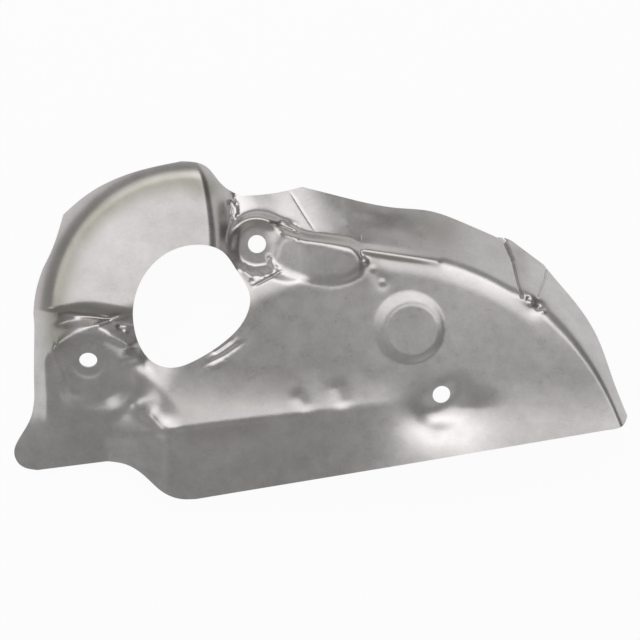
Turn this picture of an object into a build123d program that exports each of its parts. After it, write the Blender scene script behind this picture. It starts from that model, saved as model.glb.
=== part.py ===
"""A pressed sheet-steel heat shield, one piece, lying hollow side down on the floor.

The sheet's middle surface is one height over the plan, put together from the forms of the
press tool: a main panel, a skirt beyond a round ridge, a ledge and a lower flange, a left side
that falls to a foot, a ring plateau round the port, and seats, pad, rib, boss and tucks.
Millimetres, X along the shield, Y across it, Z up from the floor.
"""
from build123d import *
import os

import numpy as np

# sheet
SHEET = 0.8                       # thickness
PANEL_Z = 31.0                    # main panel above the floor
BLANK = (158.0, 88.0)             # half length and half width of the sheet before trimming
GRID = 4.6                        # spacing of the section curves

# bolt holes and seats: centre in the plan
BOLT_R = 4.5
UPPER = (-31.75, 43.25)
LEFT = (-115.75, -14.5)
RIGHT = (60.25, -31.75)

# pocket of the left seat
POCKET_C, POCKET_R = (-114.0, -18.25), 15.5

# ridge between the main panel and the skirt: one round arc
RIDGE_C, RIDGE_R = (28.75, -93.5), 130.5
SHOULDER, SHOULDER_BEND = 0.36, 6.0     # slope of the panel's rounded shoulder before the ridge
RIDGE_BEND = 3.5
SKIRT_REACH = 40.0                # the skirt falls no further out than this

# ring plateau and the outer bend that runs on down the left side
RING_C, RING_R = (-65.25, 10.5), 70.5
RING_BEND = 6.0
RING_H = 12.0                     # plateau over the main panel

# lower left corner, where ledge, lower flange and left wall meet
CORNER = (-74.25, -49.6)

# pad on the ridge, and the tucks in the skirt
PAD = [(-24, 34), (-9.5, 26), (14.5, 25.5), (21.5, 32.5), (18.5, 41), (-4, 46.5), (-20, 46.5)]
PAD_ROUND = 4.0
TUCK_LEFT = [(88, 48), (92.25, 44), (96.25, 34.5), (98.75, 23), (100.75, 16.5)]
TUCK_RIGHT = [(114, 34), (112.25, 25.5), (108.75, 17)]

# rib along the ridge, and the round boss with its foot
RIB, RIB_H = [(21.5, 40.3), (58, 34.6)], 1.4
BOSS_C, BOSS_R, BOSS_H = (45.75, 0.0), 12.65, 2.8
BOSS_FOOT_C, BOSS_FOOT_R = (44.0, 1.8), 18.4

# upper seat: flat part and its depth under the main panel
SEAT_R, SEAT_DROP = 9.5, 8.0

# trimmed edge: stretches from the left edge's foot round by the lower side, the tip and the skirt
FOOT_EDGE = [                     # X from the left edge
    (-1.75, -43), (-7.25, -53), (-10.5, -62), (-7.75, -67.3), (1.25, -70),
]
HOLLOW_EDGE = [(-107, -65.5), (-97.5, -67), (-88, -72.8), (-79, -80.8), (-70.5, -84.2), (-62, -84.3)]
TIP_EDGE = [(143, -49.5), (151, -47)]
SKIRT_EDGE = [                    # direction from the ridge's centre, distance outside the ridge
    [(22.28, 4.04), (30.01, 5.47), (39.29, 11.63), (45.42, 14.81), (55.04, 19.58), (56.65, 20.94)],
    [(56.65, 20.94), (62.85, 22.90), (64.93, 23.51), (66.93, 21.99)],
    [(66.93, 21.99), (74.16, 23.34), (80.39, 25.19), (86.31, 24.82), (97.76, 32.49), (102.93, 39.31)],
]
SEAT_EDGE = [(-17.25, 70), (-29.25, 68), (-40.25, 67.5)]
STEP_EDGE = [(-40.25, 67.5), (-49.25, 73), (-57.25, 82)]
RING_EDGE = [                     # direction from the ring's centre, distance outside its bend
    [(93.1, 3.6), (112.2, 3.5), (132.4, 6.65), (143.1, 8.6)],
    [(143.1, 8.6), (158.05, 4.4), (164.4, 5.55)],
    [(164.4, 5.55), (172.55, 6.65), (181.5, 7.5)],
]
SIDE_EDGE = 7.5                   # left edge outside the bend
SIDE_END = -33.5

# opening for the pipe
PORT = [(-61.25, 42.75), (-49, 39.5), (-41.75, 30), (-35.2, 17), (-38.25, 5), (-47.25, -5),
        (-62.75, -15), (-74.25, -18.5), (-84, -15.5), (-91, -5.5), (-93.4, 8), (-89.5, 24.5), (-78.25, 37.5)]


def ramp(d, r):
    """Nothing before a bend, d after it, and a parabola over the bend's half width r."""
    return np.where(d <= -r, 0.0, np.where(d >= r, d, (d + r) ** 2 / (4 * r)))


def rise(d, w, r):
    """From 0 to 1 across a wall of width w, with bends of half width r at both ends."""
    return (ramp(d, r) - ramp(d - w, r)) / w


def mix(a, b, t):
    return a + (b - a) * t


def bell(d, w):
    return np.exp(-(d / w) ** 2)


def stroke(x, y, a, b):
    """Distance to the stretch a to b, and the share of the way along it."""
    vx, vy = b[0] - a[0], b[1] - a[1]
    t = np.clip(((x - a[0]) * vx + (y - a[1]) * vy) / (vx * vx + vy * vy), 0, 1)
    return np.hypot(x - a[0] - t * vx, y - a[1] - t * vy), t


def strokes(x, y, pts):
    return np.min([stroke(x, y, a, b)[0] for a, b in zip(pts, pts[1:])], axis=0)


def hull(x, y, pts, r):
    """Distance outside a convex outline with its corners rounded by r."""
    d = []
    for (ax, ay), (bx, by) in zip(pts, pts[1:] + pts[:1]):
        vx, vy = bx - ax, by - ay
        d.append(((x - ax) * vy - (y - ay) * vx) / np.hypot(vx, vy) + r)
    d = np.array(d)
    return np.sqrt((np.maximum(d, 0) ** 2).sum(0)) + np.minimum(d.max(0), 0) - r


def right_side(x, y):
    """Main panel with skirt, ledge, lower flange, seats, pad, rib, boss and tucks."""
    z = -0.06 * (y + 10) * rise(x + 30, 90, 30)
    rx, ry = x - RIDGE_C[0], y - RIDGE_C[1]
    out = np.minimum(np.hypot(rx, ry) - RIDGE_R, SKIRT_REACH)
    turn = np.degrees(np.arctan2(ry, rx))
    share = np.clip(96 - turn, 0, 72) / 69
    slope = 0.25 + 0.22 * rise(114 - turn, 8, 3) + 0.31 * rise(102 - turn, 12, 4)
    slope = slope + 0.72 * share + 3.4 * share ** 6
    shoulder = SHOULDER * (1 - 0.8 * rise(x - 99, 12, 5))
    z = z - shoulder * ramp(out + 3, SHOULDER_BEND) - (slope - shoulder) * ramp(out - 1.5, RIDGE_BEND)
    # ledge along the lower side, fading towards the right
    ledge = -27 - 0.0425 * (x + 60)
    z = z + mix(0.16, 0.06, rise(x + 20, 80, 20)) * ramp(ledge - y, 11)
    # lower flange, folded down most at the corner
    tilt = 0.124
    below = (CORNER[1] + tilt * (x - CORNER[0]) - y) / np.hypot(1, tilt)
    z = z - 0.75 * (1 - rise(x + 50, 95, 15)) * ramp(below, 3.5)
    # two tucks in the skirt with the swelling between them
    on = rise(out + 3, 6, 2)
    z = z - on * (1.8 * bell(strokes(x, y, TUCK_LEFT), 3.2) + 1.4 * bell(strokes(x, y, TUCK_RIGHT), 3.0))
    z = z + on * 2.0 * bell(stroke(x, y, (103, 40), (105, 18))[0], 5.0)
    z = z - 0.8 * bell(np.hypot(x - 107, y - 12.5), 5)
    # upper seat, a flat terrace in the skirt
    r = np.hypot(x - UPPER[0], y - UPPER[1])
    z = mix(-SEAT_DROP, z, rise(r - SEAT_R, 7.5, 3.0))
    aim = np.arctan2(y - UPPER[1], x - UPPER[0])
    z = z + 1.0 * bell(r - SEAT_R - 4.5, 3.4) * rise(np.cos(aim - 2.2) - 0.15, 0.5, 0.1)
    # pad on the ridge with a groove along its lower side
    edge = hull(x, y, PAD, PAD_ROUND)
    z = mix(-0.6 - 0.3 * ramp(-4 - x, 6), z, rise(edge + 2.2, 5.5, 2.4))
    z = z - 0.6 * bell(edge - 0.8, 3.0) * rise(40 - y, 8, 3)
    # rib from the pad along the ridge
    d, t = stroke(x, y, *RIB)
    z = z + RIB_H * bell(d, 3.2) * (1 - 0.7 * t)
    # round boss, its top set off towards the lower right
    inner = np.maximum(np.hypot(x - BOSS_C[0], y - BOSS_C[1]) - BOSS_R, 0)
    outer = np.maximum(BOSS_FOOT_R - np.hypot(x - BOSS_FOOT_C[0], y - BOSS_FOOT_C[1]), 0)
    t = outer / np.maximum(outer + inner, 1e-6)
    z = z + BOSS_H * t * t * (3 - 2 * t)
    # lip of the port, drawn in along its lower right edge
    z = z - 0.7 * bell(stroke(x, y, (-62, -16.5), (-43, -7))[0], 4.0)
    # right seat, sunk towards the lower right into a hollow that runs out below it
    low = np.where(y < -41, 9.5, 8.0)
    z = z - 4.8 * bell((x - 66) / 10, 1) * bell((y + 41) / low, 1)
    along = (x - RIGHT[0]) * 0.545 - (y - RIGHT[1]) * 0.838
    seat = z - ramp(z + 1.2 + 0.40 * along, 1.8)
    r = np.hypot(x - RIGHT[0], y - RIGHT[1])
    return mix(seat, z, rise(r - 5.5, 10, 4))


def left_side(x, y):
    """Left side falling to the foot, with the left seat sunk in it under a bead."""
    z = -7 + 0.08 * (x + 110) + 0.56 * (y + 34.5)
    bead = -3.5 - 0.012 * (x + 118) ** 2 * np.where(x > -118, 0.3, 0.6)
    z = z - 0.95 * ramp(y - bead, 3.0)
    r = np.hypot(x - POCKET_C[0], y - POCKET_C[1])
    z = mix(-0.7 + 0.7 * (y - POCKET_C[1]), z, rise(r - POCKET_R + 0.5, 8.5, 3))
    return z


def height(x, y):
    """Middle of the sheet above the floor."""
    wall = CORNER[0] - 0.0114 * np.clip(y - CORNER[1], 0, 40) ** 2 + 0.088 * np.maximum(CORNER[1] - y, 0)
    wall = wall + 20 * rise(y + 15, 12, 4)
    wide = rise(-30 - y, 18, 5)
    z = mix(right_side(x, y), left_side(x, y), rise(wall - x, 15 + 20 * wide, 4.0 + 3 * bell(y + 42, 7)))
    # ring plateau round the port
    foot = rise(y - 3.5 - 1.6 * np.sin((x + 128) / 8.0), 8, 3.5)
    end = rise(-43.5 - 0.003 * np.maximum(y - 40, 0) ** 2 - x, 9.5, 4)
    z = mix(z, RING_H - (0.135 - 0.0006 * (x + 95)) * (y - 11.5) + 0.05 * (x + 65), foot * end)
    # outer bend of the ring and of the left side
    flare = 0.0075 * np.maximum(-33 - y, 0) ** 2
    out = np.hypot(np.minimum(x - RING_C[0], 40), np.maximum(y - RING_C[1], 0)) - RING_R - flare
    fall = mix(1.15, 0.45, rise(-38 - y, 16, 5))
    return PANEL_Z + z - fall * ramp(out, RING_BEND) * rise(-42 - x, 12, 4)


def normal(x, y):
    """Upward normal of the sheet, not scaled to length one."""
    e = 0.05
    gx = (height(x + e, y) - height(x - e, y)) / (2 * e)
    gy = (height(x, y + e) - height(x, y - e)) / (2 * e)
    return -gx, -gy, np.ones_like(gx)


def blank():
    """The formed sheet before trimming, wider than the outline on every side."""
    xs, ys = [np.linspace(-side, side, int(np.ceil(2 * side / GRID)) + 1) for side in BLANK]
    gx, gy = np.meshgrid(xs, ys, indexing="ij")
    nx, ny, nz = normal(gx, gy)
    half = SHEET / 2 * np.sqrt(nx ** 2 + ny ** 2 + 1)
    mid = height(gx, gy)
    share = [float(v) for v in np.linspace(0, 1, len(ys))]
    sections = []
    for i, x in enumerate(xs):
        top, low = [
            Edge.make_spline([Vector(x, y, z) for y, z in zip(ys, zs)], parameters=share)
            for zs in (mid[i] + half[i], mid[i] - half[i])
        ]
        ends = Edge.make_line(top @ 1, low @ 1), Edge.make_line(low @ 0, top @ 0)
        sections.append(Wire([top, ends[0], low, ends[1]]))
    return Solid.make_loft(sections)


def off_arc(centre, radius, part):
    """Points of an edge that keeps its distances from a round bend."""
    turns, gaps = np.array(part).T
    x = centre[0] + (radius + gaps) * np.cos(np.radians(turns))
    y = centre[1] + (radius + gaps) * np.sin(np.radians(turns))
    return list(zip(x.tolist(), y.tolist()))


def outline():
    """Trimmed edge of the sheet in the plan."""
    left = RING_C[0] - RING_R - SIDE_EDGE
    foot = [(left, SIDE_END)] + [(left + x, y) for x, y in FOOT_EDGE]
    skirt = [off_arc(RIDGE_C, RIDGE_R, part) for part in SKIRT_EDGE]
    ring = [off_arc(RING_C, RING_R, part) for part in RING_EDGE]
    curves = [Spline(*foot), Line(foot[-1], HOLLOW_EDGE[0]), Spline(*HOLLOW_EDGE)]
    curves += [Line(HOLLOW_EDGE[-1], TIP_EDGE[0]), Spline(*TIP_EDGE, skirt[0][0])]
    curves += [Spline(*part) for part in skirt]
    curves += [Spline(skirt[-1][-1], *SEAT_EDGE), Spline(*STEP_EDGE, ring[0][0])]
    curves += [Spline(*part) for part in ring] + [Line(ring[-1][-1], foot[0])]
    return make_face(curves)


def port():
    """Opening for the pipe, as it is trimmed in the plan."""
    return make_face(Spline(*PORT, periodic=True))


def bolt_hole(seat):
    x, y = np.array([float(seat[0])]), np.array([float(seat[1])])
    z = float(height(x, y)[0])
    n = [float(v[0]) for v in normal(x, y)]
    return Plane(origin=(seat[0], seat[1], z), z_dir=n) * Cylinder(BOLT_R, 12)


trim = Pos(0, 0, -60) * extrude(outline() - port(), 130)
shield = trim & blank()
for seat in (UPPER, LEFT, RIGHT):
    shield -= bolt_hole(seat)

# set down on the floor, with the origin under the middle of its box
shield = shield.solids()[0]
box = shield.bounding_box()
shield = Pos(-box.center().X, -box.center().Y, -box.min.Z) * shield

os.makedirs("parts", exist_ok=True)
export_step(shield, "parts/shield_panel.step")
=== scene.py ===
"""Looks of the pressed heat shield: one sheet of mottled steel, lying hollow side down.

The sheet is drawn finely from the same forms as its solid, with the small press wrinkles that the
solid leaves out, and carries one metal finish. Forms are in millimetres, the scene in metres.
"""

import math

import bpy
import numpy as np
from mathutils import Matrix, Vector
from mathutils.geometry import delaunay_2d_cdt
from mathutils.kdtree import KDTree


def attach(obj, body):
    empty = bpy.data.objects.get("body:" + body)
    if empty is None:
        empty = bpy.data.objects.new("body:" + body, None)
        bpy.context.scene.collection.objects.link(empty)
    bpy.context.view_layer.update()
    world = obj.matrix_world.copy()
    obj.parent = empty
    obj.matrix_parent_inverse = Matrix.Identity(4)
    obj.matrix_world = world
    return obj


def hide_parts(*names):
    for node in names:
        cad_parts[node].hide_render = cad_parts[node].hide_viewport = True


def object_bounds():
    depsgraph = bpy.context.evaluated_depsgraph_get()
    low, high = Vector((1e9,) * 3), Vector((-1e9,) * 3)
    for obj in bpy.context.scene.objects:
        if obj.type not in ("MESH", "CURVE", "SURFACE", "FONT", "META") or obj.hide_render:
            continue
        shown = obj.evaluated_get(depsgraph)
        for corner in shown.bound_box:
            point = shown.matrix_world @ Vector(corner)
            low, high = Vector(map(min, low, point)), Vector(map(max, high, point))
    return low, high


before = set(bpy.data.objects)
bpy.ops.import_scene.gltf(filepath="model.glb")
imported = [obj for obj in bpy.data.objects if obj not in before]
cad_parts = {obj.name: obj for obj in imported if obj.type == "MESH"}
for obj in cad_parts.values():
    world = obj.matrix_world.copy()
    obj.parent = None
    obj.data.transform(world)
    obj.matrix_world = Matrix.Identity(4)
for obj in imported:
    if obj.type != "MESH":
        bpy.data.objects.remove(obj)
cad_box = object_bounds()

MM = 0.001
SHEET = 0.8                       # thickness
FRONT_STEP = 0.9                  # spacing of points on the outer face
FINE_STEP = 0.4                   # where wrinkles and tucks are
BACK_STEP = 2.0                   # and on the hollow side

# studio light: level of the room, its darker side and the lamps, the widest over the picture's top
ROOM_LIGHT, ROOM_SHADE = 0.35, 0.20
SHADE_WAY = (0.95, 0.10, 0.30)
LIGHTS = [                        # name, place, size, brightness, turned to the shield or facing down
    ("panel_light", (-0.25, 1.15, 1.2), (2.0, 1.8), 0.95, False),
    ("panel_core", (0.0, 1.05, 1.15), (1.3, 0.8), 0.55, False),
    ("side_light", (-1.1, -0.1, 1.0), (0.5, 0.5), 1.0, True),
    ("fill_light", (0.5, -0.75, 0.95), (0.6, 0.6), 0.22, True),
]

# bolt holes and seats: centre in the plan
BOLT_R = 4.5
UPPER = (-31.75, 43.25)
LEFT = (-115.75, -14.5)
RIGHT = (60.25, -31.75)

# pocket of the left seat
POCKET_C, POCKET_R = (-114.0, -18.25), 15.5

# ridge between the main panel and the skirt: one round arc
RIDGE_C, RIDGE_R = (28.75, -93.5), 130.5
SHOULDER, SHOULDER_BEND = 0.36, 6.0     # slope of the panel's rounded shoulder before the ridge

# ring plateau and the outer bend that runs on down the left side
RING_C, RING_R = (-65.25, 10.5), 70.5
RING_BEND = 6.0
RING_H = 12.0                     # plateau over the main panel

# lower left corner, where ledge, lower flange and left wall meet
CORNER = (-74.25, -49.6)

# pad on the ridge, and the tucks in the skirt
PAD = [(-24, 34), (-9.5, 26), (14.5, 25.5), (21.5, 32.5), (18.5, 41), (-4, 46.5), (-20, 46.5)]
PAD_ROUND = 4.0
TUCK_LEFT = [(88, 48), (92.25, 44), (96.25, 34.5), (98.75, 23), (100.75, 16.5)]
TUCK_RIGHT = [(114, 34), (112.25, 25.5), (108.75, 17)]

# rib along the ridge, and the round boss with its foot
RIB, RIB_H = [(21.5, 40.3), (58, 34.6)], 1.8
BOSS_C, BOSS_R, BOSS_H = (45.75, 0.0), 12.65, 1.25
BOSS_FOOT_C, BOSS_FOOT_R = (44.0, 1.8), 18.4

# upper seat: flat part and its depth under the main panel
SEAT_R, SEAT_DROP = 11.0, 8.0

# right seat: way it falls in the plan, and how much
FALL_X, FALL_Y, FALL = 0.545, -0.838, 0.40

# trimmed edge, one smooth stretch after another
EDGE = [
    [(-143.25, -33.5), (-145, -43), (-150.5, -53), (-153.75, -62), (-151, -67.3), (-142, -70)],
    [(-142, -70), (-107, -65.5)],
    [(-107, -65.5), (-97.5, -67), (-88, -72.8), (-79, -80.8), (-70.5, -84.2), (-62, -84.3)],
    [(-62, -84.3), (143, -49.5)],
    [(143, -49.5), (151, -47), (153.25, -42.5)],
    [(153.25, -42.5), (146.5, -25.5), (138.75, -3.5), (130.75, 10), (114.75, 29.5), (112, 33)],
    [(112, 33), (98.75, 43), (94, 46), (88.5, 46.8)],
    [(88.5, 46.8), (70.75, 54.5), (54.75, 60), (38.75, 61.5), (6.75, 68), (-9.25, 72)],
    [(-9.25, 72), (-17.25, 70), (-29.25, 68), (-40.25, 67.5)],
    [(-40.25, 67.5), (-49.25, 73), (-57.25, 82), (-69.25, 84.5)],
    [(-69.25, 84.5), (-93.25, 79), (-117.25, 67.5), (-128.5, 58)],
    [(-128.5, 58), (-134.75, 38.5), (-138.5, 31)],
    [(-138.5, 31), (-141.75, 20.5), (-143.25, 8.5)],
    [(-143.25, 8.5), (-143.25, -33.5)],
]
PORT = [(-61.25, 42.75), (-49, 39.5), (-41.75, 30), (-35.2, 17), (-38.25, 5), (-47.25, -5), (-62.75, -15),
        (-74.25, -18.5), (-84, -15.5), (-91, -5.5), (-93.4, 8), (-89.5, 24.5), (-78.25, 37.5)]


def ramp(d, r):
    """Nothing before a bend, d after it, and a parabola over the bend's half width r."""
    return np.where(d <= -r, 0.0, np.where(d >= r, d, (d + r) ** 2 / (4 * r)))


def rise(d, w, r):
    """From 0 to 1 across a wall of width w, with bends of half width r at both ends."""
    return (ramp(d, r) - ramp(d - w, r)) / w


def mix(a, b, t):
    return a + (b - a) * t


def bell(d, w):
    return np.exp(-(d / w) ** 2)


def stroke(x, y, a, b):
    """Distance to the stretch a to b, and the share of the way along it."""
    vx, vy = b[0] - a[0], b[1] - a[1]
    t = np.clip(((x - a[0]) * vx + (y - a[1]) * vy) / max(vx * vx + vy * vy, 1e-9), 0, 1)
    return np.hypot(x - a[0] - t * vx, y - a[1] - t * vy), t


def strokes(x, y, pts):
    return np.min([stroke(x, y, a, b)[0] for a, b in zip(pts, pts[1:])], axis=0)


def taper(x, y, pts):
    """Fading to nothing at both ends of a path."""
    ends = [np.hypot(x - px, y - py) for px, py in (pts[0], pts[-1])]
    whole = sum(math.dist(a, b) for a, b in zip(pts, pts[1:]))
    return rise(np.minimum(*ends) - 0.02 * whole, 0.25 * whole, 0.02 * whole) if whole else 1.0


def hull(x, y, pts, r):
    """Distance outside a convex outline with its corners rounded by r."""
    d = []
    for (ax, ay), (bx, by) in zip(pts, pts[1:] + pts[:1]):
        vx, vy = bx - ax, by - ay
        d.append(((x - ax) * vy - (y - ay) * vx) / np.hypot(vx, vy) + r)
    d = np.array(d)
    return np.sqrt((np.maximum(d, 0) ** 2).sum(0)) + np.minimum(d.max(0), 0) - r


def right_side(x, y):
    """Main panel with skirt, ledge, lower flange, seats, pad, rib, boss and tucks."""
    z = -0.06 * (y + 10) * rise(x + 30, 90, 30)
    rx, ry = x - RIDGE_C[0], y - RIDGE_C[1]
    out = np.hypot(rx, ry) - RIDGE_R
    turn = np.degrees(np.arctan2(ry, rx))
    share = np.clip(96 - turn, 0, 72) / 69
    slope = 0.25 + 0.22 * rise(114 - turn, 8, 3) + 0.31 * rise(102 - turn, 12, 4)
    slope = slope + 0.72 * share + 3.4 * share ** 6
    far = rise(x - 99, 12, 5)
    shoulder = SHOULDER * (1 - 0.9 * far)
    z = z - shoulder * ramp(out + 3, SHOULDER_BEND)
    z = z - (slope - shoulder) * ramp(out - 1.5 - 1.5 * far, 2.5 + 2.5 * far)
    # ledge along the lower side, fading towards the right
    ledge = -27 - 0.0425 * (x + 60)
    z = z + mix(0.16, 0.09, rise(x + 20, 80, 20)) * ramp(ledge - y, 11)
    # lower flange, folded down most at the corner
    tilt = 0.124
    below = (CORNER[1] + tilt * (x - CORNER[0]) - y) / np.hypot(1, tilt)
    z = z - 0.75 * (1 - rise(x + 50, 95, 15)) * ramp(below, 1.8)
    # two tucks in the skirt with the swelling between them
    on = rise(out + 3, 6, 2)
    z = z - on * (2.0 * bell(strokes(x, y, TUCK_LEFT), 0.8) + 1.8 * bell(strokes(x, y, TUCK_RIGHT), 0.8))
    z = z + on * 2.0 * bell(stroke(x, y, (103, 40), (105, 18))[0], 5.0)
    z = z - 1.2 * bell(np.hypot(x - 107, y - 12.5), 4)
    # upper seat, a flat terrace in the skirt
    r = np.hypot(x - UPPER[0], y - UPPER[1])
    z = mix(-SEAT_DROP, z, rise(r - SEAT_R, 4.5, 1.2))
    aim = np.arctan2(y - UPPER[1], x - UPPER[0])
    z = z + 2.3 * bell(r - SEAT_R - 2.2, 2.3) * rise(np.cos(aim - 2.0) - 0.05, 0.5, 0.1)
    # pad on the ridge with a groove along its lower side
    edge = hull(x, y, PAD, PAD_ROUND)
    border = 3.4 + 6 * rise(-8 - x, 8, 3) + 2 * rise(y - 38, 4, 1)
    z = mix(-0.1 - 0.3 * ramp(-4 - x, 6), z, rise(edge + 1.4, border, 1.6))
    z = z - 0.14 * bell(edge - 3.2, 1.4) * rise(34 - y, 6, 2)
    # rib from the pad along the ridge
    d, t = stroke(x, y, *RIB)
    z = z + RIB_H * bell(d, 1.9) * (1 - 0.7 * t)
    # round boss, its top set off towards the lower right
    inner = np.maximum(np.hypot(x - BOSS_C[0], y - BOSS_C[1]) - BOSS_R, 0)
    outer = np.maximum(BOSS_FOOT_R - np.hypot(x - BOSS_FOOT_C[0], y - BOSS_FOOT_C[1]), 0)
    t = outer / np.maximum(outer + inner, 1e-6)
    z = z + BOSS_H * rise(t - 0.06, 0.88, 0.06) - 0.2 * bell(inner - 0.6, 0.7) * rise(t - 0.3, 0.4, 0.1)
    # lip of the port, drawn in along its lower right edge
    z = z - 0.5 * bell(stroke(x, y, (-52, -10.5), (-45, -5.5))[0], 1.4)
    # two small dents where the ledge dies out
    z = z - 0.5 * bell(stroke(x, y, (-11, -34), (-8, -37))[0], 3.8)
    z = z - 0.7 * bell(stroke(x, y, (8.5, -29), (10.5, -35))[0], 4.0)
    # right seat, sunk towards the lower right into a hollow that runs out below it
    z = z - 3.9 * bell((x - 57) / 12, 1) * bell((y + 43) / np.where(y < -43, 9.5, 11), 1)
    z = z - 3.0 * bell((x - 73) / np.where(x < 73, 9, 12), 1) * bell((y + 39) / np.where(y < -39, 17, 7), 1)
    along = (x - RIGHT[0]) * FALL_X + (y - RIGHT[1]) * FALL_Y
    seat = z - ramp(z + 1.2 + FALL * (along - ramp(along - 5, 3)), 1.5)
    r = np.hypot(x - RIGHT[0], y - RIGHT[1])
    return mix(seat, z, rise(r - 6.0, 9, 4))


def left_side(x, y):
    """Left side falling to the foot, with the left seat sunk in it under a bead."""
    z = -7 + 0.08 * (x + 110) + 0.56 * (y + 34.5)
    bead = -3.5 - (x + 118) ** 2 * np.where(x > -118, 0.012, 0.026)
    z = z - 0.95 * ramp(y - bead, 2.8)
    r = np.hypot(x - POCKET_C[0], y - POCKET_C[1])
    z = mix(-0.7 + 0.7 * (y - POCKET_C[1]), z, rise(r - POCKET_R + 0.5, 8.5, 2.5))
    r = np.hypot(x - LEFT[0], y - LEFT[1])
    return z + 0.7 * (1 - rise(r - 7.5, 2.2, 0.7))


def height(x, y):
    """Middle of the sheet over the main panel's level."""
    wall = CORNER[0] - 0.0114 * np.clip(y - CORNER[1], 0, 40) ** 2 + 0.088 * np.maximum(CORNER[1] - y, 0)
    wall = wall + 20 * rise(y + 15, 12, 4)
    wide = rise(-30 - y, 18, 5)
    z = mix(right_side(x, y), left_side(x, y), rise(wall - x, 15 + 20 * wide, 2.0 + 5.0 * bell(y + 42, 7)))
    # ring plateau round the port
    foot = rise(y - 4.0 - 1.6 * np.sin((x + 128) / 8.0), 7, 2)
    end = rise(-43.5 - 0.003 * np.maximum(y - 40, 0) ** 2 - x, 9.5, 4)
    z = mix(z, RING_H - (0.135 - 0.0006 * (x + 95)) * (y - 11.5) + 0.05 * (x + 65), foot * end)
    # outer bend of the ring and of the left side
    flare = 0.0075 * np.maximum(-33 - y, 0) ** 2
    out = np.hypot(np.minimum(x - RING_C[0], 40), np.maximum(y - RING_C[1], 0)) - RING_R - flare
    fall = mix(1.15, 0.45, rise(-38 - y, 16, 5))
    return z - fall * ramp(out, RING_BEND) * rise(-42 - x, 12, 4)


# small press wrinkles: path in the plan, height, half width
WRINKLES = [
    # crevice and folds right of the upper seat
    ([(-26, 54.5), (-19, 51.5), (-9.5, 48)], -1.6, 0.8), ([(-27, 57), (-18, 54), (-13, 52.5)], 0.9, 1.5),
    ([(-20, 48.5), (-11, 45.5)], 0.7, 1.3),
    # crumples between the upper seat and the port
    ([(-34.5, 21.5), (-26, 26), (-18, 30.5)], -0.9, 0.7), ([(-39, 31.5), (-33.5, 24.5)], 0.9, 1.5),
    ([(-25.5, 36.5), (-21.5, 29.5)], 0.9, 1.4), ([(-33, 30), (-28, 27)], -0.7, 1.0),
    # crumple at the top of the ring's step
    ([(-46.5, 66), (-44.5, 60), (-44.5, 55.5)], -1.3, 0.9), ([(-43.5, 66.3)] * 2, -0.9, 1.1),
    ([(-42.5, 63), (-42, 57)], 0.8, 1.2),
    # crease and folds in the skirt
    ([(-16, 70.5), (-8, 57.5), (-1.5, 47.5)], -0.28, 0.5),
    ([(10, 63), (40, 55)], 0.5, 4.5), ([(12, 55.5), (50, 49.5)], -0.5, 4.5),
    # right end of the pad
    ([(20.3, 48), (20.3, 35)], -0.7, 0.8), ([(22.3, 34.5)] * 2, 0.9, 1.6), ([(26, 31), (31, 24)], -0.4, 3.5),
    # crumple where the tucks run out on the ridge
    ([(105, 13.5)] * 2, 0.9, 1.3), ([(103.4, 16)] * 2, -0.8, 1.1), ([(108.5, 11.3)] * 2, -0.9, 1.2),
    ([(111, 9.5)] * 2, 0.6, 1.2),
    # crease, valley and knot between the left seat and the ring
    ([(-131, 9), (-118, 7.5), (-105, 6), (-95, 9.3)], -0.9, 1.3),
    ([(-116.5, 0.5), (-105, 5), (-94.5, 8.5)], 1.0, 1.1), ([(-112, -1.5), (-90, -11.5)], 1.1, 3.2),
    ([(-119, -8), (-112.5, -8)], -0.4, 2.0), ([(-100, 2.3)] * 2, -0.9, 1.2), ([(-97, 0.3)] * 2, 0.7, 1.3),
    # creases down the left edge
    ([(-134, 3), (-129.5, -16), (-124, -34.5)], -0.3, 0.8),
    ([(-136, 1), (-131.5, -16), (-126, -34.5)], 0.4, 1.6),
    ([(-137.3, -6), (-136, -52)], 1.3, 2.6),
    # fold under the lower left corner
    ([(-72, -49), (-72.8, -88)], -0.5, 2.0), ([(-76, -47), (-76.5, -88)], 0.4, 2.2),
    ([(-94, -36), (-85, -42.5), (-73, -53)], 1.2, 3.5), ([(-84, -41)] * 2, 0.9, 4.5),
    # pull marks by the port's lower lip
    ([(-58, -15.5), (-49, -10.2), (-39, -3)], 0.4, 1.3), ([(-60, -18), (-48, -12.3), (-36, -4)], -0.35, 1.2),
    ([(-56, -19), (-47, -14.5)], 0.25, 1.4),
]


def wrinkles(x, y):
    """Press wrinkles, each a soft ridge or valley along its path."""
    z = np.zeros_like(x)
    for path, h, w in WRINKLES:
        px, py = np.array(path, float).T
        near = (x > px.min() - 4 * w) & (x < px.max() + 4 * w) & (y > py.min() - 4 * w) & (y < py.max() + 4 * w)
        z[near] += h * bell(strokes(x[near], y[near], path), w) * taper(x[near], y[near], path)
    return z


def surface(x, y):
    """Middle of the sheet with its wrinkles, none of them higher than the ring."""
    z = height(x, y) + wrinkles(x, y)
    return z - 0.9 * ramp(z - 10.4, 0.3)


def normals(x, y):
    """Upward unit normals of the sheet."""
    e = 0.05
    gx = (surface(x + e, y) - surface(x - e, y)) / (2 * e)
    gy = (surface(x, y + e) - surface(x, y - e)) / (2 * e)
    n = np.stack([-gx, -gy, np.ones_like(gx)], axis=-1)
    return n / np.linalg.norm(n, axis=-1, keepdims=True)


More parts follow.
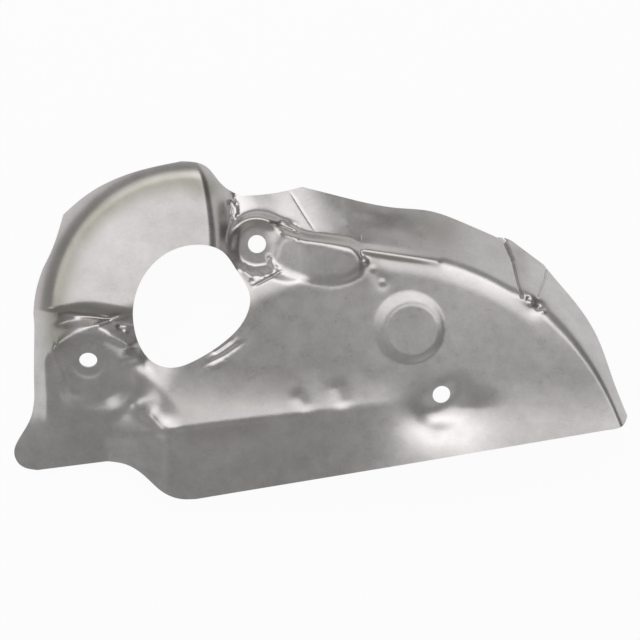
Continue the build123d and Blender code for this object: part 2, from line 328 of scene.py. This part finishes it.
def spline(points, step, closed=False):
    """Points about every step along a smooth curve through the given ones, its end left out."""
    p = np.array(points + points[:1] if closed else points, float)
    h = np.hypot(*np.diff(p, axis=0).T)
    t = np.concatenate([[0.0], np.cumsum(h)])
    n = len(t)
    a, b = np.eye(n), np.zeros((n, 2))
    jump = np.diff(p, axis=0) / h[:, None]
    for i in range(1, n - 1):
        a[i, i - 1:i + 2] = h[i - 1], 2 * (h[i - 1] + h[i]), h[i]
        b[i] = 6 * (jump[i] - jump[i - 1])
    if closed:
        a[0, [0, 1, n - 2]] = 2 * (h[-1] + h[0]), h[0], h[-1]
        b[0] = 6 * (jump[0] - jump[-1])
        a[n - 1, 0] = -1
    m = np.linalg.solve(a, b)
    s = np.linspace(0, t[-1], max(2, math.ceil(t[-1] / step)) + 1)[:-1]
    k = np.clip(np.searchsorted(t, s, "right") - 1, 0, n - 2)
    u, v, w = (t[k + 1] - s)[:, None], (s - t[k])[:, None], h[k][:, None]
    bent = (m[k] * u ** 3 + m[k + 1] * v ** 3) / (6 * w)
    return bent + (p[k] / w - m[k] * w / 6) * u + (p[k + 1] / w - m[k + 1] * w / 6) * v


def bolt_rim(seat, step, side):
    """A bolt hole square to its seat, as it lies in the plan on one side of the sheet."""
    n = normals(np.array([seat[0]]), np.array([seat[1]]))[0]
    across = np.cross(n, (0.0, 1.0, 0.0))
    across /= np.linalg.norm(across)
    along = np.cross(n, across)
    a = np.linspace(0, 2 * np.pi, math.ceil(2 * np.pi * BOLT_R / step) + 1)[:-1]
    ring = np.cos(a)[:, None] * across + np.sin(a)[:, None] * along
    return np.array(seat) + side * SHEET * n[:2] + BOLT_R * ring[:, :2]


def inside(pts, loops):
    """Which points lie within the first loop and out of the others."""
    odd = np.zeros(len(pts), bool)
    for loop in loops:
        for (ax, ay), (bx, by) in zip(loop, np.roll(loop, -1, axis=0)):
            hit = (ay > pts[:, 1]) != (by > pts[:, 1])
            if hit.any():
                odd ^= hit & (pts[:, 0] < (bx - ax) * (pts[:, 1] - ay) / (by - ay + 1e-12) + ax)
    return odd


def hexagons(lo, hi, step):
    """Points of an even grid of triangles over a box."""
    rows = []
    for i, y in enumerate(np.arange(lo[1], hi[1], step * math.sqrt(0.75))):
        xs = np.arange(lo[0] + (i % 2) * step / 2, hi[0], step)
        rows.append(np.column_stack([xs, np.full_like(xs, y)]))
    return np.vstack(rows)


# painted shade, a darker olive, along the bends and creases: path in the plan, strength, half width
PAINTED_SHADE = [
    ([(-132, -5), (-131, 20), (-124, 42), (-111, 58.5), (-91, 71), (-70, 76), (-55, 71)], 0.95, 6.5),
    ([(-132, 10), (-118, 12), (-106, 9), (-95, 9)], 0.8, 3.5), ([(-52, 72), (-49, 55), (-46, 38)], 0.5, 4.5),
    ([(-44, 45), (-38, 54), (-28, 56), (-12, 48), (18, 44)], 0.55, 4.5), ([(30, 56), (62, 50)], 0.55, 9.0),
    ([(24, 38), (58, 34)], 0.5, 4.0), ([(-68, -38), (-20, -30)], 0.28, 9.0), ([(18, 26), (28, 34)], 0.5, 6.0),
    ([(-64, -52), (-30, -47)], 0.3, 5.0), ([(101, 17), (109, 12)], 0.4, 4.0),
]


def painted_shade(x, y):
    """Strength of the painted shade along the bends and creases, from 0 to 1."""
    return np.max([s * bell(strokes(x, y, path), w) for path, s, w in PAINTED_SHADE], axis=0)


def wrinkled(x, y):
    """Where a wrinkle or tuck is near."""
    near = np.zeros(len(x), bool)
    for path, _, w in WRINKLES + [(TUCK_LEFT, 0, 0.8), (TUCK_RIGHT, 0, 0.8)]:
        if w > 2:
            continue
        px, py = np.array(path, float).T
        box = (x > px.min() - 3) & (x < px.max() + 3) & (y > py.min() - 3) & (y < py.max() + 3) & ~near
        near[box] = strokes(x[box], y[box], path) < 2.2 * w
    return near


def plan(loops, step):
    """Points and triangles over the plan; the loops' own points come first, in order."""
    rim = np.vstack(loops)
    tree = KDTree(len(rim))
    for i, (x, y) in enumerate(rim):
        tree.insert((x, y, 0), i)
    tree.balance()
    lo, hi = rim.min(0), rim.max(0)
    grid = hexagons(lo, hi, step)
    if step == FRONT_STEP:
        fine = hexagons(lo, hi, FINE_STEP)
        grid = np.vstack([grid[~wrinkled(*grid.T)], fine[wrinkled(*fine.T)]])
    grid = grid[inside(grid, loops)]
    far = np.array([tree.find((x, y, 0))[2] for x, y in grid]) > 0.55 * step
    pts = np.vstack([rim, grid[far]])
    edges, start = [], 0
    for loop in loops:
        n = len(loop)
        edges += [(start + i, start + (i + 1) % n) for i in range(n)]
        start += n
    verts, _, faces, *_ = delaunay_2d_cdt([Vector(p) for p in pts], edges, [], 0, 1e-7)
    if len(verts) != len(pts):
        raise RuntimeError("the plan's edges cross")
    tri = np.array(faces)
    on_rim = (tri < len(rim)).all(axis=1)
    keep = np.ones(len(tri), bool)
    keep[on_rim] = inside(pts[tri[on_rim]].mean(axis=1), loops)
    return pts, tri[keep]


def pressed_sheet():
    """The shield as one closed mesh: outer face, hollow side and the cut edges between them."""
    rims = [np.vstack([spline(part, FRONT_STEP) for part in EDGE]), spline(PORT, FRONT_STEP, closed=True)]
    verts, faces, sharp, painted_shades = [], [], [], []
    starts = []
    for side, step in ((0.5, FRONT_STEP), (-0.5, BACK_STEP)):
        loops = rims + [bolt_rim(seat, FRONT_STEP, side) for seat in (UPPER, LEFT, RIGHT)]
        pts, tri = plan(loops, step)
        x, y = pts.T
        starts.append(sum(len(v) for v in verts))
        verts.append(np.column_stack([x, y, surface(x, y) + side * SHEET / normals(x, y)[:, 2]]))
        # strength of the painted shade along the bends and creases at each point
        painted_shades.append(painted_shade(x, y))
        faces += [tuple(f) for f in (tri if side > 0 else tri[:, ::-1]) + starts[-1]]
    start = 0
    for loop in loops:
        n = len(loop)
        area = np.sum(loop[:, 0] * np.roll(loop[:, 1], -1) - loop[:, 1] * np.roll(loop[:, 0], -1))
        outer = loop is loops[0]
        for i in range(n):
            a, b = start + i, start + (i + 1) % n
            ring = (a + starts[0], b + starts[0], b + starts[1], a + starts[1])
            faces.append(ring if (area < 0) == outer else ring[::-1])
            sharp += [(a + s, b + s) for s in starts]
        start += n
    p = np.vstack(verts) * MM
    lo, hi = (np.array(c) for c in cad_box)
    p[:, :2] += (lo + hi)[:2] / 2 - (p.min(0) + p.max(0))[:2] / 2
    p[:, 2] += lo[2] - p[:, 2].min()
    mesh = bpy.data.meshes.new("shield_sheet")
    mesh.from_pydata(p.tolist(), [], faces)
    mesh.shade_smooth()
    sharp = {tuple(sorted(e)) for e in sharp}
    mark = [tuple(sorted(e.vertices)) in sharp for e in mesh.edges]
    mesh.attributes.new("sharp_edge", "BOOLEAN", "EDGE").data.foreach_set("value", mark)
    # the painted shade's strength, kept on the points for the finish
    mesh.attributes.new("painted_shade", "FLOAT", "POINT").data.foreach_set("value", np.concatenate(painted_shades))
    mesh.validate()
    piece = bpy.data.objects.new("shield_sheet", mesh)
    bpy.context.scene.collection.objects.link(piece)
    return piece


class Value:
    """A node's output that takes part in sums."""

    def __init__(self, finish, socket):
        self.finish, self.socket = finish, socket

    def maths(self, operation, a, b):
        return self.finish.node("ShaderNodeMath", {"operation": operation}, {0: a, 1: b})

    def __add__(self, other):
        return self.maths("ADD", self, other)

    def __radd__(self, other):
        return self.maths("ADD", other, self)

    def __sub__(self, other):
        return self.maths("SUBTRACT", self, other)

    def __rsub__(self, other):
        return self.maths("SUBTRACT", other, self)

    def __mul__(self, other):
        return self.maths("MULTIPLY", self, other)

    def __rmul__(self, other):
        return self.maths("MULTIPLY", other, self)

    def __rpow__(self, other):
        return self.maths("POWER", other, self)


class Finish:
    """A node tree that is filled by calls."""

    def __init__(self, tree):
        self.tree = tree
        self.tree.nodes.clear()

    def node(self, kind, settings=None, inputs=None, out=0):
        """Adds a node: its settings first, then values or links on its sockets; gives one output."""
        made = self.tree.nodes.new(kind)
        for key, value in (settings or {}).items():
            if key == "stops":
                for stop, (place, colour) in zip(made.color_ramp.elements, value):
                    stop.position, stop.color = place, colour
            else:
                setattr(made, key, value)
        for key, value in (inputs or {}).items():
            if isinstance(value, Value):
                self.tree.links.new(value.socket, made.inputs[key])
            else:
                made.inputs[key].default_value = value
        return Value(self, made.outputs[out]) if len(made.outputs) else made


def steel_finish():
    """Coated steel sheet: soft grey patches, fine speckle, rubbed sheen, and painted shade, a darker olive,
    along the bends and creases.
    """
    material = bpy.data.materials.new("shield_steel")
    material.use_nodes = True
    f = Finish(material.node_tree)
    place = f.node("ShaderNodeTexCoord", out="Object")

    def grain(size, detail, rough=0.5):
        """Noise with patches of about that many millimetres, from 0 to 1."""
        return f.node("ShaderNodeTexNoise", None,
                      {"Vector": place, "Scale": 0.6 / (size * MM), "Detail": detail, "Roughness": rough})

    cloud, patch, speckle = grain(22, 3), grain(5, 4, 0.65), grain(0.9, 2, 0.7)
    tone = 0.5 + (cloud - 0.5) * 0.7 + (patch - 0.5) * 0.8 + (speckle - 0.5) * 0.35
    greys = [(0.2, (0.505, 0.486, 0.488, 1)), (0.8, (0.685, 0.66, 0.662, 1))]
    colour = f.node("ShaderNodeValToRGB", {"stops": greys}, {"Fac": tone})
    # painted shade: a darker olive mixed into the grey along the bends and creases, patchy with the noise
    shade_olive = (0.33, 0.325, 0.275, 1)
    shade_share = f.node("ShaderNodeAttribute", {"attribute_name": "painted_shade"}, out="Fac")
    shade_share = shade_share * (0.35 + cloud * 0.5 + patch * 0.6)
    colour = f.node("ShaderNodeMix", {"data_type": "RGBA"}, {0: shade_share, 6: colour, 7: shade_olive}, out=2)
    rough = 0.25 + patch * 0.08 + (speckle - 0.5) * 0.06
    bump = f.node("ShaderNodeBump", None,
                  {"Strength": 0.25, "Distance": 0.00006, "Height": speckle * 0.5 + patch * 3})
    steel = f.node("ShaderNodeBsdfPrincipled", None,
                   {"Base Color": colour, "Metallic": 1.0, "Roughness": rough, "Normal": bump})
    f.node("ShaderNodeOutputMaterial", None, {"Surface": steel})
    return material


def white_floor():
    """A wide pale floor, nearly white to the eye, that keeps the shield's shadow."""
    size = 30.0
    mesh = bpy.data.meshes.new("floor")
    corners = [(-size, -size, 0), (size, -size, 0), (size, size, 0), (-size, size, 0)]
    mesh.from_pydata(corners, [], [(0, 1, 2, 3)])
    floor = bpy.data.objects.new("floor", mesh)
    bpy.context.scene.collection.objects.link(floor)
    material = bpy.data.materials.new("floor_white")
    material.use_nodes = True
    f = Finish(material.node_tree)
    paths = [f.node("ShaderNodeLightPath", out=name)
             for name in ("Is Camera Ray", "Is Glossy Ray", "Is Transmission Ray")]
    seen = 0.95 * paths[0] + 0.6 * (paths[1] + paths[2])
    paint = f.node("ShaderNodeBsdfDiffuse", None, {"Color": (0.9, 0.9, 0.9, 1)})
    glow = f.node("ShaderNodeEmission", None, {"Color": (1, 1, 1, 1), "Strength": 1.0})
    shown = f.node("ShaderNodeMixShader", None, {0: seen, 1: paint, 2: glow})
    f.node("ShaderNodeOutputMaterial", None, {"Surface": shown})
    mesh.materials.append(material)


def studio():
    """A plain grey room, darker to the right, with soft lamps round the shield."""
    scene = bpy.context.scene
    scene.view_settings.view_transform = "Standard"
    world = bpy.data.worlds.new("studio")
    world.use_nodes = True
    scene.world = world
    f = Finish(world.node_tree)
    way = f.node("ShaderNodeTexCoord", out="Generated")
    facing = f.node("ShaderNodeVectorMath", {"operation": "DOT_PRODUCT"}, {0: way, 1: SHADE_WAY}, out="Value")
    shade = math.e ** ((facing - 1.0) * 4.0)
    room = f.node("ShaderNodeBackground", None,
                  {"Color": (1.0, 0.99, 0.985, 1), "Strength": ROOM_LIGHT - ROOM_SHADE * shade})
    f.node("ShaderNodeOutputWorld", None, {"Surface": room})
    for name, place, size, bright, turned in LIGHTS:
        lamp = bpy.data.lights.new(name, "AREA")
        lamp.shape, lamp.size, lamp.size_y = "RECTANGLE", *size
        lamp.energy = bright * math.pi * size[0] * size[1]
        light = bpy.data.objects.new(name, lamp)
        light.location = place
        if turned:
            light.rotation_euler = Vector(place).to_track_quat("Z", "Y").to_euler()
        light.visible_camera = False
        scene.collection.objects.link(light)


def camera():
    """A long lens straight above, with the picture's up along +Y."""
    lens, sensor, shown, plane = 500.0, 36.0, 0.320, 0.020
    data = bpy.data.cameras.new("camera")
    data.lens, data.sensor_width = lens, sensor
    data.clip_end = 100
    cam = bpy.data.objects.new("camera", data)
    cam.location = (0.0, 0.0053, plane + shown * lens / sensor)
    bpy.context.scene.collection.objects.link(cam)
    bpy.context.scene.camera = cam


studio()
camera()
white_floor()
shield = pressed_sheet()
shield.data.materials.append(steel_finish())
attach(shield, "root")
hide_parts("shield_panel")
